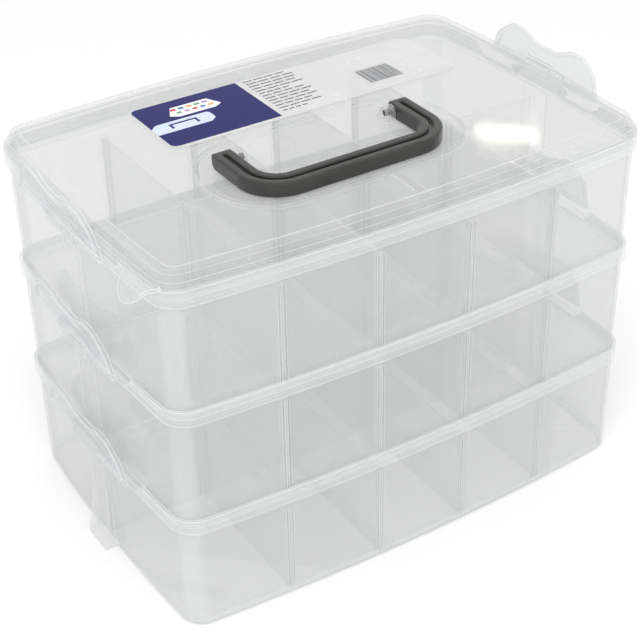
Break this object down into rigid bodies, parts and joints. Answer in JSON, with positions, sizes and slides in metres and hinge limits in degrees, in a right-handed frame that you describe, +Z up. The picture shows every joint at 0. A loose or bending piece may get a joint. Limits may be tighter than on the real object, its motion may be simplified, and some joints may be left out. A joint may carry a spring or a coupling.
{
  "type": "sewing box with trays",
  "caption": "Clear stacking sewing box: nesting compartment trays with loose dividers, swing-up end latches, a lift-off lid and a folding carry handle.",
  "frame": {"origin": "centre of the underside of the lowest tray, on the plane it stands on", "axes": "+X along the length towards the right-hand latches, +Y from the front to the back, +Z up; the pull tab is at -X, -Y"},
  "size_m": [0.3358, 0.218, 0.2428],
  "materials": {
    "clear_plastic": "clear polypropylene, smooth",
    "handle_dark": "semi-gloss, fine grooves",
    "label_film": "printed adhesive film"
  },
  "bodies": {
    "bottom": {"tray_bottom": "clear_plastic", "divider_bottom_front_1": "clear_plastic", "divider_bottom_front_2": "clear_plastic", "divider_bottom_front_3": "clear_plastic", "divider_bottom_front_4": "clear_plastic", "divider_bottom_back_1": "clear_plastic", "divider_bottom_back_2": "clear_plastic", "divider_bottom_back_3": "clear_plastic", "divider_bottom_back_4": "clear_plastic"},
    "middle": {"tray_middle": "clear_plastic", "divider_middle_front_1": "clear_plastic", "divider_middle_front_2": "clear_plastic", "divider_middle_front_3": "clear_plastic", "divider_middle_front_4": "clear_plastic", "divider_middle_back_1": "clear_plastic", "divider_middle_back_2": "clear_plastic", "divider_middle_back_3": "clear_plastic", "divider_middle_back_4": "clear_plastic"},
    "top": {"tray_top": "clear_plastic", "divider_top_front_1": "clear_plastic", "divider_top_front_2": "clear_plastic", "divider_top_front_3": "clear_plastic", "divider_top_front_4": "clear_plastic", "divider_top_back_1": "clear_plastic", "divider_top_back_2": "clear_plastic", "divider_top_back_3": "clear_plastic", "divider_top_back_4": "clear_plastic"},
    "lid": {"lid": "clear_plastic", "label": "label_film"},
    "handle": {"handle": "handle_dark"},
    "latch_bottom_left": {"latch_bottom_left": "clear_plastic"},
    "latch_bottom_right": {"latch_bottom_right": "clear_plastic"},
    "latch_middle_left": {"latch_middle_left": "clear_plastic"},
    "latch_middle_right": {"latch_middle_right": "clear_plastic"},
    "latch_top_left": {"latch_top_left": "clear_plastic"},
    "latch_top_right": {"latch_top_right": "clear_plastic"}
  },
  "joints": [
    {"name": "middle_tray_lift", "type": "slide", "parent": "bottom", "child": "middle", "axis": [0, 0, 1], "range_m": [0, 0.09]},
    {"name": "top_tray_lift", "type": "slide", "parent": "middle", "child": "top", "axis": [0, 0, 1], "range_m": [0, 0.09]},
    {"name": "lid_lift", "type": "slide", "parent": "top", "child": "lid", "axis": [0, 0, 1], "range_m": [0, 0.06]},
    {"name": "handle_fold", "type": "hinge", "parent": "lid", "child": "handle", "pos_m": [-0.0115, -0.013, 0.2341], "axis": [-1, 0, 0], "range_deg": [0, 90]},
    {"name": "latch_bottom_left_hinge", "type": "hinge", "parent": "bottom", "child": "latch_bottom_left", "pos_m": [-0.161, 0, 0.0726], "axis": [0, -1, 0], "range_deg": [-6, 94]},
    {"name": "latch_bottom_right_hinge", "type": "hinge", "parent": "bottom", "child": "latch_bottom_right", "pos_m": [0.161, 0, 0.0726], "axis": [0, 1, 0], "range_deg": [-6, 94]},
    {"name": "latch_middle_left_hinge", "type": "hinge", "parent": "middle", "child": "latch_middle_left", "pos_m": [-0.161, 0, 0.145], "axis": [0, -1, 0], "range_deg": [-6, 94]},
    {"name": "latch_middle_right_hinge", "type": "hinge", "parent": "middle", "child": "latch_middle_right", "pos_m": [0.161, 0, 0.145], "axis": [0, 1, 0], "range_deg": [-6, 94]},
    {"name": "latch_top_left_hinge", "type": "hinge", "parent": "top", "child": "latch_top_left", "pos_m": [-0.161, 0, 0.2174], "axis": [0, -1, 0], "range_deg": [-6, 94]},
    {"name": "latch_top_right_hinge", "type": "hinge", "parent": "top", "child": "latch_top_right", "pos_m": [0.161, 0, 0.2174], "axis": [0, 1, 0], "range_deg": [-6, 94]}
  ]
}
